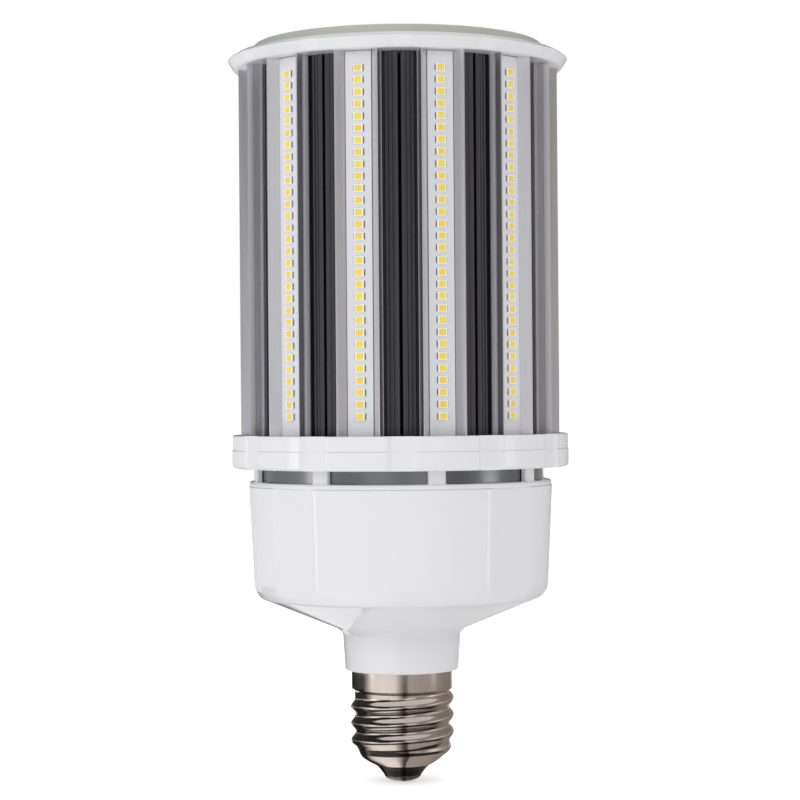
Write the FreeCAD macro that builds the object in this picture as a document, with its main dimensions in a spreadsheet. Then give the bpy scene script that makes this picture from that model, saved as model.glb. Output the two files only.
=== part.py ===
import FreeCAD, Part
import math
import os

import Sketcher
from FreeCAD import Vector

# Corn LED bulb with a mogul screw base, standing base down.
# The origin is the face of the centre contact and +Z runs up the lamp's axis.

doc = FreeCAD.newDocument("corn_led_bulb")
sheet = doc.addObject("Spreadsheet::Sheet", "Sizes")

SIZES = [
    # screw base
    ("contact_face_radius", 3.5),
    ("contact_radius", 7.0),
    ("contact_height", 2.3),
    ("contact_stem_radius", 2.0),
    ("insulator_radius", 10.3),
    ("insulator_edge_height", 6.1),
    ("insulator_height", 8.4),
    ("shell_wall", 0.8),
    ("shell_end_radius", 10.4),
    ("shell_end_height", 6.1),
    ("thread_root_radius", 17.85),
    ("thread_major_radius", 19.65),
    ("thread_pitch", 6.35),
    ("thread_turns", 3.4),
    ("thread_start_height", 12.1),
    ("thread_foot_width", 5.2),
    ("skirt_radius", 18.98),
    ("skirt_start_height", 35.0),
    ("shell_knee_height", 12.4),
    # lower housing
    ("neck_bottom_height", 42.0),
    ("neck_bottom_radius", 21.3),
    ("neck_height", 13.8),
    ("neck_top_radius", 22.2),
    ("cone_inner_radius", 24.3),
    ("cone_inner_rise", 2.0),
    ("cone_outer_radius", 48.0),
    ("cone_angle", 22.47),
    ("cup_corner_radius", 55.4),
    ("cup_corner_height", 75.4),
    ("cup_rim_height", 111.5),
    ("cup_rim_radius", 57.1),
    ("cup_wall", 2.2),
    ("cup_facets", 4),
    ("cup_facet_depth", 1.1),
    ("cup_floor_height", 72.5),
    ("spigot_bottom_height", 14.0),
    ("spigot_gap", 0.2),
    ("spigot_wall", 2.2),
    # driver inside the housing
    ("driver_board_length", 76.0),
    ("driver_board_width", 62.0),
    ("driver_board_thickness", 1.6),
    ("driver_post_height", 3.5),
    ("driver_post_side", 5.0),
    ("capacitor_radius", 9.0),
    ("capacitor_height", 27.0),
    ("transformer_length", 30.0),
    ("transformer_width", 16.0),
    ("transformer_height", 22.0),
    ("transformer_yoke", 5.0),
    ("winding_width", 24.0),
    ("wire_radius", 0.9),
    ("wire_pitch", 2.4),
    ("wire_hole_radius", 4.0),
    # vented ring and collar
    ("flange_radius", 56.9),
    ("flange_thickness", 1.9),
    ("flange_edge", 0.8),
    ("locating_depth", 2.4),
    ("locating_gap", 0.3),
    ("vent_gap", 4.9),
    ("pillars", 8),
    ("pillar_radius", 3.5),
    ("pillar_circle_radius", 52.2),
    ("pillar_start_angle", 13.0),
    ("baffle_radius", 53.4),
    ("baffle_wall", 1.5),
    ("baffle_gap", 0.2),
    ("collar_radius", 63.4),
    ("collar_edge", 1.4),
    ("collar_lower_height", 6.8),
    ("collar_upper_height", 5.6),
    ("collar_upper_radius", 63.2),
    ("collar_upper_edge", 0.6),
    ("collar_floor", 2.5),
    ("collar_floor_inner_radius", 43.0),
    ("collar_gap", 0.35),
    ("collar_band_width", 10.6),
    ("band_depth", 1.0),
    ("band_slope", 1.4),
    # finned modules
    ("modules", 12),
    ("module_top_height", 267.4),
    ("board_face_distance", 56.2),
    ("led_board_width", 9.5),
    ("led_board_thickness", 1.0),
    ("led_board_end_gap", 0.3),
    ("channel_gap", 0.15),
    ("channel_depth", 0.8),
    ("lip_distance", 59.6),
    ("lip_half_width", 8.0),
    ("lip_edge", 0.5),
    ("lip_side_depth", 2.5),
    ("side_groove_depth", 1.4),
    ("side_groove_height", 2.7),
    ("side_rib_height", 0.9),
    ("fin_front_distance", 52.5),
    ("fin_thickness", 1.2),
    ("fin_pitch", 5.1),
    ("fin_gap", 1.0),
    ("web_half_width", 1.5),
    ("web_inner_distance", 38.0),
    # chips: a row has as many as its pitch lets the module hold
    ("chip_width", 3.5),
    ("chip_height", 2.8),
    ("chip_thickness", 0.8),
    ("chip_pitch", 4.262),
    ("first_chip_height", 137.6),
    ("chip_end_clearance", 5.0),
    ("chips", "=floor((module_top_height - chip_end_clearance - first_chip_height) / chip_pitch) + 1"),
    # core tube
    ("core_gap", 0.3),
    ("core_wall", 2.0),
    # top ring, board and lens
    ("top_ring_radius", 64.0),
    ("top_ring_undercut", 2.5),
    ("top_ring_lower_radius", "=top_ring_radius - top_ring_undercut"),
    ("top_ring_height", 6.0),
    ("top_ring_belly", 3.6),
    ("top_ring_shoulder", 2.6),
    ("top_ring_flat_radius", "=top_ring_radius - top_ring_shoulder"),
    ("top_ring_plate", 2.2),
    ("top_ring_rim_width", 7.3),
    ("top_ring_bore_radius", "=top_ring_radius - top_ring_rim_width"),
    ("top_band_width", 8.4),
    ("top_board_thickness", 1.6),
    ("top_board_gap", 0.4),
    ("top_chips", 16),
    ("top_chip_edge_distance", 16.7),
    ("top_chip_circle_radius", "=top_ring_bore_radius - top_chip_edge_distance"),
    ("lens_gap", 0.3),
    ("lens_wall", 2.0),
    ("lens_stand", 4.0),
    ("lens_shoulder", 2.8),
]

for row, (alias, value) in enumerate(SIZES, start=1):
    sheet.set(f"A{row}", alias)
    sheet.set(f"B{row}", str(value))
    sheet.setAlias(f"B{row}", alias)
doc.recompute()


class Size:
    """A length known as a number and as the text that binds a feature to the sheet."""

    def __init__(self, value, text):
        self.value = float(value)
        self.text = text

    def __add__(self, other):
        other = as_size(other)
        return Size(self.value + other.value, f"({self.text} + {other.text})")

    def __sub__(self, other):
        other = as_size(other)
        return Size(self.value - other.value, f"({self.text} - {other.text})")

    def __mul__(self, other):
        other = as_size(other)
        return Size(self.value * other.value, f"({self.text} * {other.text})")

    def __truediv__(self, other):
        other = as_size(other)
        return Size(self.value / other.value, f"({self.text} / {other.text})")

    def __neg__(self):
        return Size(-self.value, f"(-1 * {self.text})")


def as_size(thing):
    return thing if isinstance(thing, Size) else Size(thing, f"{thing:g}")


def cell(alias):
    return Size(sheet.get(alias), f"Sizes.{alias}")


def tangent(angle):
    return Size(math.tan(math.radians(angle.value)), f"tan({angle.text})")


def cosine(angle):
    return Size(math.cos(math.radians(angle.value)), f"cos({angle.text})")


def sine(angle):
    return Size(math.sin(math.radians(angle.value)), f"sin({angle.text})")


ZERO = as_size(0)


def bind(thing, path, size):
    """Give a property its size and keep it tied to the sheet."""
    thing.setExpression(path, as_size(size).text)


def origin_feature(body, role):
    return next(feature for feature in body.Origin.OriginFeatures if feature.Role == role)


def new_body(label):
    body = doc.addObject("PartDesign::Body", label)
    body.Label = label
    return body


def new_sketch(body, name, plane, height=None):
    sketch = body.newObject("Sketcher::SketchObject", name)
    sketch.AttachmentSupport = (origin_feature(body, plane), [""])
    sketch.MapMode = "FlatFace"
    if height is not None:
        sketch.AttachmentOffset = FreeCAD.Placement(Vector(0, 0, height.value), FreeCAD.Rotation())
        bind(sketch, "AttachmentOffset.Base.z", height)
    return sketch


def pin_point(sketch, side, end, point):
    """Hold one end of a side at its two sizes from the sketch origin."""
    for kind, axis, size in (("DistanceX", -2, point[0]), ("DistanceY", -1, point[1])):
        if size is ZERO:
            sketch.addConstraint(Sketcher.Constraint("PointOnObject", side, end, axis))
        else:
            index = sketch.addConstraint(Sketcher.Constraint(kind, -1, 1, side, end, size.value))
            bind(sketch, f"Constraints[{index}]", size)


def draw_outline(sketch, points):
    """A closed outline of straight sides through points whose sizes are tied to the sheet."""
    first = sketch.GeometryCount
    corners = [Vector(x.value, y.value, 0) for x, y in points]
    count = len(points)
    for index in range(count):
        sketch.addGeometry(Part.LineSegment(corners[index], corners[(index + 1) % count]))
    for index in range(count):
        following = first + (index + 1) % count
        sketch.addConstraint(Sketcher.Constraint("Coincident", first + index, 2, following, 1))
        pin_point(sketch, first + index, 1, points[index])


def draw_circle(sketch, x, y, radius):
    side = sketch.addGeometry(Part.Circle(Vector(x.value, y.value, 0), Vector(0, 0, 1), radius.value))
    pin_point(sketch, side, 3, (x, y))
    index = sketch.addConstraint(Sketcher.Constraint("Radius", side, radius.value))
    bind(sketch, f"Constraints[{index}]", radius)


def revolve(body, name, points):
    """Turn an outline of radius and height points about the lamp's axis."""
    sketch = new_sketch(body, name + "_outline", "XZ_Plane")
    draw_outline(sketch, points)
    feature = body.newObject("PartDesign::Revolution", name)
    feature.Profile = sketch
    feature.ReferenceAxis = (sketch, ["V_Axis"])
    feature.Angle = 360
    return feature


def pad(body, name, sketch, length):
    feature = body.newObject("PartDesign::Pad", name)
    feature.Profile = sketch
    feature.Length = length.value
    bind(feature, "Length", length)
    return feature


def cut_up(body, name, sketch, length):
    """Cut upwards from the sketch."""
    feature = body.newObject("PartDesign::Pocket", name)
    feature.Profile = sketch
    feature.Length = length.value
    bind(feature, "Length", length)
    feature.Reversed = True
    return feature


def around(body, name, feature, count):
    """Repeat a feature evenly about the lamp's axis."""
    pattern = body.newObject("PartDesign::PolarPattern", name)
    pattern.Originals = [feature]
    pattern.Axis = (origin_feature(body, "Z_Axis"), [""])
    pattern.Angle = 360
    pattern.Occurrences = int(count.value)
    bind(pattern, "Occurrences", count)
    body.Tip = pattern
    return pattern


def rectangle(sketch, x0, y0, x1, y1):
    draw_outline(sketch, [(x0, y0), (x1, y0), (x1, y1), (x0, y1)])


# Heights and radii that several pieces share

neck_top_height = cell("neck_bottom_height") + cell("neck_height")
cone_start_height = neck_top_height + cell("cone_inner_rise")
cone_rise = (cell("cone_outer_radius") - cell("cone_inner_radius")) * tangent(cell("cone_angle"))
cone_end_height = cone_start_height + cone_rise
flange_top = cell("cup_rim_height") + cell("flange_thickness")
collar_bottom = flange_top + cell("vent_gap")
collar_seam = collar_bottom + cell("collar_lower_height")
collar_top = collar_seam + cell("collar_upper_height")
module_seat = collar_bottom + cell("collar_floor")
module_length = cell("module_top_height") - module_seat
sector = as_size(180) / cell("modules")
core_radius = cell("web_inner_distance") - cell("core_gap")
core_bore = core_radius - cell("core_wall")
ring_top = cell("module_top_height") + cell("top_ring_height")
plate_top = cell("module_top_height") + cell("top_ring_plate")
top_board_top = plate_top + cell("top_board_thickness")
cup_bore = cell("cup_corner_radius") - cell("cup_facet_depth") - cell("cup_wall")
shell_bore = cell("thread_root_radius") - cell("shell_wall")
spigot_radius = shell_bore - cell("spigot_gap")
spigot_bore = spigot_radius - cell("spigot_wall")
driver_board_height = cell("cup_floor_height") + cell("driver_post_height")
driver_board_top = driver_board_height + cell("driver_board_thickness")
contact_stem_top = cell("insulator_height") + 1.2


def centre_contact():
    """Metal button with a stem riveted through the insulator."""
    body = new_body("centre_contact")
    revolve(body, "button", [
        (ZERO, ZERO),
        (cell("contact_face_radius"), ZERO),
        (cell("contact_radius"), cell("contact_height")),
        (cell("contact_stem_radius"), cell("contact_height")),
        (cell("contact_stem_radius"), contact_stem_top),
        (ZERO, contact_stem_top),
    ])
    return body


def base_insulator():
    """Black bead that closes the small end of the screw shell."""
    body = new_body("base_insulator")
    hole = cell("contact_stem_radius") + 0.1
    revolve(body, "bead", [
        (hole, cell("contact_height")),
        (cell("contact_radius"), cell("contact_height")),
        (cell("insulator_radius"), cell("insulator_edge_height")),
        (cell("insulator_radius"), cell("insulator_height")),
        (hole, cell("insulator_height")),
    ])
    return body


def screw_shell():
    """Rolled metal shell: coarse right-hand thread, plain skirt above, rounded small end below."""
    body = new_body("screw_shell")
    root = cell("thread_root_radius")
    end = cell("shell_end_radius")
    low = cell("shell_end_height")
    knee = cell("shell_knee_height")
    top = cell("neck_bottom_height")
    revolve(body, "blank", [
        (end, low),
        (end + (root - end) * 0.76, low + (knee - low) * 0.4),
        (root, knee),
        (root, cell("skirt_start_height")),
        (cell("skirt_radius"), cell("skirt_start_height")),
        (cell("skirt_radius"), top),
        (shell_bore, top),
        (shell_bore, knee),
        (end, low + cell("shell_wall") * 2),
    ])
    crest = new_sketch(body, "crest_outline", "XZ_Plane")
    middle = cell("thread_start_height")
    foot = cell("thread_foot_width") / 2
    inside = root - cell("shell_wall") / 2
    draw_outline(crest, [
        (inside, middle - foot),
        (cell("thread_major_radius"), middle),
        (inside, middle + foot),
    ])
    thread = body.newObject("PartDesign::AdditiveHelix", "thread")
    thread.Profile = crest
    thread.ReferenceAxis = (crest, ["V_Axis"])
    thread.Mode = "pitch-turns-angle"
    bind(thread, "Pitch", cell("thread_pitch"))
    bind(thread, "Turns", cell("thread_turns"))
    return body


def cup_outer():
    """Outside of the lower housing: spigot, neck, cone and drafted wall with four corner facets."""
    body = new_body("cup_outer")
    corner_r = cell("cup_corner_radius")
    corner_z = cell("cup_corner_height")
    edge_r = cell("cone_outer_radius")
    rim = cell("cup_rim_height")
    revolve(body, "outside", [
        (ZERO, cell("spigot_bottom_height")),
        (spigot_radius, cell("spigot_bottom_height")),
        (spigot_radius, cell("neck_bottom_height")),
        (cell("neck_bottom_radius"), cell("neck_bottom_height")),
        (cell("neck_top_radius"), neck_top_height),
        (cell("cone_inner_radius"), cone_start_height),
        (edge_r, cone_end_height),
        (edge_r + (corner_r - edge_r) * 0.81, cone_end_height + (corner_z - cone_end_height) * 0.37),
        (corner_r, corner_z),
        (cell("cup_rim_radius"), rim),
        (ZERO, rim),
    ])
    doc.recompute()
    draft = (cell("cup_rim_radius") - corner_r) / (rim - corner_z)
    start = cone_end_height - 1
    flat = cell("cup_rim_radius") - cell("cup_facet_depth") - (rim - start) * draft
    reach = cell("cup_rim_radius") * 1.2
    sketch = new_sketch(body, "corner_facet_outline", "XY_Plane", start)
    rectangle(sketch, flat, -reach, flat + reach, reach)
    facet = cut_up(body, "corner_facet", sketch, rim - start + 1)
    facet.TaperAngle = -math.degrees(math.atan(draft.value))
    facet.setExpression("TaperAngle", f"-1 * atan({draft.text})")
    around(body, "corner_facets", facet, cell("cup_facets"))
    body.Placement = FreeCAD.Placement(Vector(), FreeCAD.Rotation(Vector(0, 0, 1), 45))
    return body


def cup_cavity():
    """Space inside the housing, open at the rim and down through the neck."""
    body = new_body("cup_cavity")
    floor = cell("cup_floor_height")
    above = cell("cup_rim_height") + 1
    revolve(body, "inside", [
        (ZERO, cell("spigot_bottom_height") - 1),
        (spigot_bore, cell("spigot_bottom_height") - 1),
        (spigot_bore, floor),
        (cup_bore, floor),
        (cup_bore, above),
        (ZERO, above),
    ])
    return body


def driver_posts():
    """Four square posts that carry the corners of the driver board."""
    body = new_body("driver_posts")
    sketch = new_sketch(body, "post_outline", "XY_Plane", cell("cup_floor_height") - 1)
    side = cell("driver_post_side")
    far_x = cell("driver_board_length") / 2
    far_y = cell("driver_board_width") / 2
    for x0, x1 in ((-far_x, side - far_x), (far_x - side, far_x)):
        for y0, y1 in ((-far_y, side - far_y), (far_y - side, far_y)):
            rectangle(sketch, x0, y0, x1, y1)
    pad(body, "posts", sketch, cell("driver_post_height") + 1)
    return body


def boolean(kind, name, base, tool):
    result = doc.addObject(kind, name)
    result.Base = base
    result.Tool = tool
    result.Label = name
    return result


def driver_cup():
    """White lower housing with posts inside for the driver board."""
    space = boolean("Part::Cut", "cup_space", cup_cavity(), driver_posts())
    return boolean("Part::Cut", "driver_cup", cup_outer(), space)


def driver_board():
    body = new_body("driver_board")
    sketch = new_sketch(body, "outline", "XY_Plane", driver_board_height)
    half_x, half_y = cell("driver_board_length") / 2, cell("driver_board_width") / 2
    rectangle(sketch, -half_x, -half_y, half_x, half_y)
    pad(body, "board", sketch, cell("driver_board_thickness"))
    return body


def capacitor():
    body = new_body("capacitor")
    sketch = new_sketch(body, "can_outline", "XY_Plane", driver_board_top)
    radius = cell("capacitor_radius")
    draw_circle(sketch, cell("driver_board_length") / 2 - radius - 2, ZERO, radius)
    pad(body, "can", sketch, cell("capacitor_height"))
    return body


def transformer_winding():
    body = new_body("transformer_winding")
    sketch = new_sketch(body, "winding_outline", "XY_Plane", driver_board_top)
    middle = -(cell("driver_board_length") / 4)
    half_x = cell("transformer_length") / 2 - cell("transformer_yoke")
    half_y = cell("winding_width") / 2
    rectangle(sketch, middle - half_x, -half_y, middle + half_x, half_y)
    pad(body, "winding", sketch, cell("transformer_height") - cell("transformer_yoke"))
    return body


def transformer_core():
    """Ferrite yoke that closes over the winding from both ends."""
    body = new_body("transformer_core")
    sketch = new_sketch(body, "yoke_outline", "XZ_Plane")
    middle = -(cell("driver_board_length") / 4)
    left = middle - cell("transformer_length") / 2
    right = middle + cell("transformer_length") / 2
    yoke = cell("transformer_yoke")
    low = driver_board_top
    high = low + cell("transformer_height")
    draw_outline(sketch, [
        (left, low), (left + yoke, low), (left + yoke, high - yoke), (right - yoke, high - yoke),
        (right - yoke, low), (right, low), (right, high), (left, high),
    ])
    feature = pad(body, "yoke", sketch, cell("transformer_width"))
    feature.Midplane = True
    return body


def wires(label, bottom, top):
    """A pair of insulated wires side by side."""
    body = new_body(label)
    sketch = new_sketch(body, "wires_outline", "XY_Plane", bottom)
    draw_circle(sketch, ZERO, cell("wire_pitch") / 2, cell("wire_radius"))
    draw_circle(sketch, ZERO, -(cell("wire_pitch") / 2), cell("wire_radius"))
    pad(body, "wires", sketch, top - bottom)
    return body


def cut_bands(body, name, bottom, height, radius, width):
    """Shallow slanted-sided recesses in a rim, one between each two modules."""
    sketch = new_sketch(body, name + "_outline", "XY_Plane", bottom - 1)
    depth = cell("band_depth")
    half = width / 2
    inner = radius - depth
    outer = radius + 2
    spread = cell("band_slope") * 3
    draw_outline(sketch, [
        (inner, -(half - cell("band_slope"))),
        (outer, -(half + spread)),
        (outer, half + spread),
        (inner, half - cell("band_slope")),
    ])
    recess = cut_up(body, name, sketch, height + 2)
    around(body, name + "_pattern", recess, cell("modules"))


def vent_ring():
    """Cover of the housing, eight ribs above it and the lower half of the collar, moulded as one."""
    body = new_body("vent_ring")
    rim = cell("cup_rim_height")
    edge = cell("flange_edge")
    hole = cell("wire_hole_radius")
    locating = cup_bore - cell("locating_gap")
    revolve(body, "cover", [
        (hole, rim - cell("locating_depth")),
        (locating, rim - cell("locating_depth")),
        (locating, rim),
        (cell("flange_radius"), rim),
        (cell("flange_radius"), flange_top - edge),
        (cell("flange_radius") - edge, flange_top),
        (hole, flange_top),
    ])
    doc.recompute()
    sketch = new_sketch(body, "pillar_outline", "XY_Plane", flange_top - 0.5)
    draw_rib(sketch, cell("pillar_circle_radius"), cell("pillar_radius"))
    pillar = pad(body, "pillar", sketch, cell("vent_gap") + 1)
    around(body, "pillar_ring", pillar, cell("pillars"))
    doc.recompute()
    radius = cell("collar_radius")
    bevel = cell("collar_edge")
    wall_inner = collar_inner_radius()
    floor_inner = cell("collar_floor_inner_radius")
    revolve(body, "collar", [
        (floor_inner, collar_bottom),
        (radius - bevel, collar_bottom),
        (radius, collar_bottom + bevel),
        (radius, collar_seam),
        (wall_inner, collar_seam),
        (wall_inner, module_seat),
        (floor_inner, module_seat),
    ])
    doc.recompute()
    width = cell("collar_band_width")
    cut_bands(body, "collar_band", collar_bottom, cell("collar_lower_height"), radius, width)
    return body


def draw_rib(sketch, distance, radius):
    """A pillar's section before the baffle, turned as far round the axis as the first pillar stands."""
    turn = cell("pillar_start_angle")
    inner = cell("baffle_radius") + cell("baffle_gap")
    outer = distance + radius * 0.92
    foot = radius * 0.92
    face = radius * 0.45
    points = []
    for out, across in ((inner, -foot), (outer, -face), (outer, face), (inner, foot)):
        x = out * cosine(turn) - across * sine(turn)
        y = out * sine(turn) + across * cosine(turn)
        points.append((x, y))
    draw_outline(sketch, points)


def vent_baffle():
    """Grey metal band behind the pillars, which is why nothing shows through the vent gap."""
    body = new_body("vent_baffle")
    outer = cell("baffle_radius")
    inner = outer - cell("baffle_wall")
    revolve(body, "band", [
        (inner, flange_top),
        (outer, flange_top),
        (outer, collar_bottom),
        (inner, collar_bottom),
    ])
    return body


def collar_inner_radius():
    corner = Size(
        math.hypot(cell("lip_half_width").value, cell("lip_distance").value),
        "sqrt(Sizes.lip_half_width ^ 2 + Sizes.lip_distance ^ 2)",
    )
    return corner + cell("collar_gap")


def collar_ring():
    """Upper half of the collar, a plain banded ring round the module feet."""
    body = new_body("collar_ring")
    radius = cell("collar_upper_radius")
    bevel = cell("collar_upper_edge")
    inner = collar_inner_radius()
    revolve(body, "ring", [
        (inner, collar_seam),
        (radius, collar_seam),
        (radius, collar_top - bevel),
        (radius - bevel, collar_top),
        (inner, collar_top),
    ])
    doc.recompute()
    width = cell("collar_band_width")
    cut_bands(body, "collar_band", collar_seam, cell("collar_upper_height"), radius, width)
    return body


def module_outline():
    """Half of the extrusion's section as points across the module and out from the axis."""
    half = cell("led_board_width") / 2 + cell("channel_gap")
    seat = cell("board_face_distance") - cell("led_board_thickness")
    lip = cell("lip_half_width")
    tip = cell("lip_distance")
    groove_r = lip - cell("side_groove_depth")
    rib_top = tip - cell("lip_side_depth") - cell("side_groove_height")
    rib_low = rib_top - cell("side_rib_height")
    front = cell("fin_front_distance")
    thick = cell("fin_thickness")
    web = cell("web_half_width")
    slope = tangent(sector)
    points = [
        (half, seat),
        (half, seat + cell("channel_depth")),
        (lip - cell("lip_edge"), tip),
        (lip, tip),
        (lip, tip - cell("lip_side_depth")),
        (groove_r, tip - cell("lip_side_depth")),
        (groove_r, rib_top),
        (lip, rib_top),
        (lip, rib_low),
        (groove_r, rib_low),
    ]
    for level in range(3):
        high = front - cell("fin_pitch") * level
        low = high - thick
        reach = low * slope - cell("fin_gap")
        root_in = groove_r if level == 0 else web
        points += [(root_in, high), (reach, high), (reach, low), (web, low)]
    points.append((web, cell("web_inner_distance")))
    return points


def heat_sink(number):
    """One aluminium extrusion: board channel between slanted lips, side ribs and three cross fins."""
    body = new_body(f"heat_sink_{number:02d}")
    sketch = new_sketch(body, "section", "XY_Plane", module_seat)
    half = module_outline()
    mirrored = [(-across, out) for across, out in reversed(half)]
    draw_outline(sketch, half + mirrored)
    pad(body, "extrusion", sketch, module_length)
    return body


def led_board(number):
    body = new_body(f"led_board_{number:02d}")
    end_gap = cell("led_board_end_gap")
    sketch = new_sketch(body, "outline", "XY_Plane", module_seat + end_gap)
    half = cell("led_board_width") / 2
    face = cell("board_face_distance")
    rectangle(sketch, -half, face - cell("led_board_thickness"), half, face)
    pad(body, "strip", sketch, module_length - end_gap * 2)
    return body


def led_row(number):
    """The chips of one module, a row of separate packages on its board."""
    body = new_body(f"led_row_{number:02d}")
    low = cell("first_chip_height") - cell("chip_height") / 2
    sketch = new_sketch(body, "outline", "XY_Plane", low)
    half = cell("chip_width") / 2
    face = cell("board_face_distance")
    rectangle(sketch, -half, face, half, face + cell("chip_thickness"))
    chip = pad(body, "chip", sketch, cell("chip_height"))
    row = body.newObject("PartDesign::LinearPattern", "row")
    row.Originals = [chip]
    row.Direction = (origin_feature(body, "Z_Axis"), [""])
    bind(row, "Length", cell("chip_pitch") * (cell("chips") - 1))
    bind(row, "Occurrences", cell("chips"))
    body.Tip = row
    return body


def place_module(body, number):
    """Turn a piece of module 1 about the axis to its own place."""
    turn = sector * (2 * number - 1)
    body.Placement = FreeCAD.Placement(Vector(), FreeCAD.Rotation(Vector(0, 0, 1), turn.value))
    bind(body, "Placement.Rotation.Angle", turn)


def core_tube():
    """Black tube in the middle that carries the wires to the top and keeps the rings apart."""
    body = new_body("core_tube")
    top = cell("module_top_height")
    revolve(body, "tube", [
        (core_bore, flange_top),
        (core_radius, flange_top),
        (core_radius, top),
        (core_bore, top),
    ])
    return body


def top_ring():
    """White end ring: rounded rim, plate over the module ends and a seat for the lens."""
    body = new_body("top_ring")
    low = cell("module_top_height")
    radius = cell("top_ring_radius")
    belly = low + cell("top_ring_belly")
    flat = cell("top_ring_flat_radius")
    hole = cell("wire_hole_radius")
    revolve(body, "rim", [
        (hole, low),
        (cell("top_ring_lower_radius"), low),
        (radius, belly),
        (flat + (radius - flat) * 0.66, belly + (ring_top - belly) * 0.72),
        (flat, ring_top),
        (cell("top_ring_bore_radius"), ring_top),
        (cell("top_ring_bore_radius"), plate_top),
        (hole, plate_top),
    ])
    doc.recompute()
    cut_bands(body, "rim_band", low, cell("top_ring_height"), radius, cell("top_band_width"))
    return body


def top_board():
    """Round board under the lens."""
    body = new_body("top_board")
    sketch = new_sketch(body, "outline", "XY_Plane", plate_top)
    draw_circle(sketch, ZERO, ZERO, cell("top_ring_bore_radius") - cell("top_board_gap"))
    pad(body, "disc", sketch, cell("top_board_thickness"))
    return body


def top_leds():
    body = new_body("top_leds")
    sketch = new_sketch(body, "outline", "XY_Plane", top_board_top)
    radius = cell("top_chip_circle_radius")
    half = cell("chip_height") / 2
    wide = cell("chip_width") / 2
    rectangle(sketch, radius - half, -wide, radius + half, wide)
    chip = pad(body, "chip", sketch, cell("chip_thickness"))
    around(body, "ring", chip, cell("top_chips"))
    return body


def top_lens():
    """Frosted cover: short skirt, slanted shoulder and a flat top over the top board."""
    body = new_body("top_lens")
    outer = cell("top_ring_bore_radius") - cell("lens_gap")
    inner = outer - cell("lens_wall") - cell("lens_shoulder")
    top = ring_top + cell("lens_stand")
    revolve(body, "cover", [
        (inner, top_board_top),
        (outer, top_board_top),
        (outer, ring_top),
        (outer - cell("lens_shoulder"), top),
        (ZERO, top),
        (ZERO, top - cell("lens_wall")),
        (inner, top - cell("lens_wall")),
    ])
    return body


NODES = [
    centre_contact(),
    base_insulator(),
    screw_shell(),
    driver_cup(),
    driver_board(),
    capacitor(),
    transformer_winding(),
    transformer_core(),
    wires("input_wires", contact_stem_top, driver_board_height),
    vent_ring(),
    vent_baffle(),
    wires("output_wires", driver_board_top, plate_top),
    collar_ring(),
    core_tube(),
    top_ring(),
    top_board(),
    top_leds(),
    top_lens(),
]

for number in range(1, int(cell("modules").value) + 1):
    for make in (heat_sink, led_board, led_row):
        piece = make(number)
        place_module(piece, number)
        NODES.append(piece)

doc.recompute()

for item in doc.Objects:
    if "Invalid" in item.State or "Error" in item.State:
        raise RuntimeError(f"{item.Name} failed: {item.State}")

os.makedirs("parts", exist_ok=True)
for node in NODES:
    shape = node.Shape
    if shape.isNull() or not shape.isValid():
        raise RuntimeError(f"{node.Label} has no valid shape")
    shape.exportStep(f"parts/{node.Label}.step")
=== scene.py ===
import math

import bpy
from bpy.props import FloatProperty, FloatVectorProperty, IntProperty, PointerProperty
from mathutils import Matrix, Vector


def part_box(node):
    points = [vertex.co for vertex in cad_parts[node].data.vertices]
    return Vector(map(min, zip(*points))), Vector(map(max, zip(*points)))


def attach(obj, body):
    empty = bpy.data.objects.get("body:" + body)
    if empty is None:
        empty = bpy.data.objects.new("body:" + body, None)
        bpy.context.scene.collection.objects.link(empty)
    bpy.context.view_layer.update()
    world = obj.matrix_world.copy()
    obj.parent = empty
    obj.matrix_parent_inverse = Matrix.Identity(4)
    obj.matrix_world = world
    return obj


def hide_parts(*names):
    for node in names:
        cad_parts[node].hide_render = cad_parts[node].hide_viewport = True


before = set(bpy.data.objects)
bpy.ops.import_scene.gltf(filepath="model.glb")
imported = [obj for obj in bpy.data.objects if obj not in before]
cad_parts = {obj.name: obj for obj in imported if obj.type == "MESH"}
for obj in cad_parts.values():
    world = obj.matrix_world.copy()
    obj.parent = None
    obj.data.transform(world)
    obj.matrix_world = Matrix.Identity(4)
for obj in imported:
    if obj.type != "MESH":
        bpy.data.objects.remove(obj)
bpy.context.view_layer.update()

bl_info = {
    "name": "Corn LED Bulb",
    "version": (1, 0, 0),
    "blender": (4, 5, 0),
    "location": "View3D > Sidebar > Corn LED Bulb",
    "description": "Dresses a corn LED bulb: screw base, housing, finned modules, rings and lens",
    "category": "Object",
}

MM = 0.001


# Heights and radii read from the frame, in millimetres

def low(node):
    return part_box(node)[0].z / MM


def high(node):
    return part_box(node)[1].z / MM


CONTACT_TOP = low("base_insulator")
NECK_BOTTOM = high("screw_shell")
CUP_RIM = high("driver_cup")
COLLAR_SEAM = low("collar_ring")
COLLAR_TOP = high("collar_ring")
MODULE_LOW = low("heat_sink_01")
MODULE_TOP = high("heat_sink_01")
RING_TOP = high("top_ring")
LENS_TOP = high("top_lens")
BOARD_TOP = high("top_board")
BOARD_FACE = 56.2
MODULES = 12
SECTOR = 360 / MODULES


# Colours

def channel(value):
    return value / 12.92 if value <= 0.04045 else ((value + 0.055) / 1.055) ** 2.4


def colour(text):
    """Turn an sRGB hex value into a linear colour."""
    parts = (int(text[i:i + 2], 16) / 255 for i in (1, 3, 5))
    return tuple(channel(part) for part in parts) + (1.0,)


# Materials

def add_node(holder, kind, inputs=None, **settings):
    """Add a node: settings name its properties or inputs, inputs hold a value or another node's output."""
    tree = holder.node_tree
    node = tree.nodes.new(kind)
    for key, value in settings.items():
        if hasattr(node, key):
            setattr(node, key, value)
        else:
            node.inputs[key.replace("_", " ")].default_value = value
    for key, value in (inputs or {}).items():
        if isinstance(value, bpy.types.NodeSocket):
            tree.links.new(value, node.inputs[key])
        else:
            node.inputs[key].default_value = value
    return node


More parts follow.
